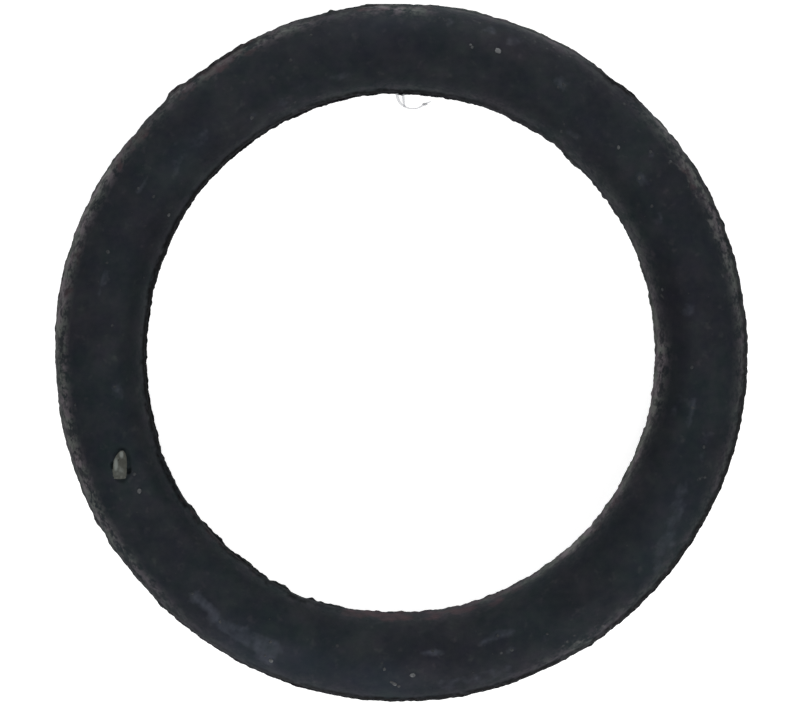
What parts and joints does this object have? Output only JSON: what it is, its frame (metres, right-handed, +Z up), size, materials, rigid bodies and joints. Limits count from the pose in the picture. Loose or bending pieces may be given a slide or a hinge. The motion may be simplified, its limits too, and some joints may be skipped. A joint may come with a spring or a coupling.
{
  "type": "o-ring",
  "caption": "Round-section rubber o-ring that seals a shaft or a bore in a groove, with trimmed flash at its mould parting line.",
  "frame": {"origin": "under the middle of the ring, on the surface that it lies on", "axes": "+Z up along the bore axis; the ring's slight set makes it longest close to Y"},
  "size_m": [0.0186, 0.0187, 0.0024],
  "materials": {
    "black_rubber": "matte"
  },
  "bodies": {
    "root": {"o_ring": "black_rubber"}
  },
  "joints": []
}
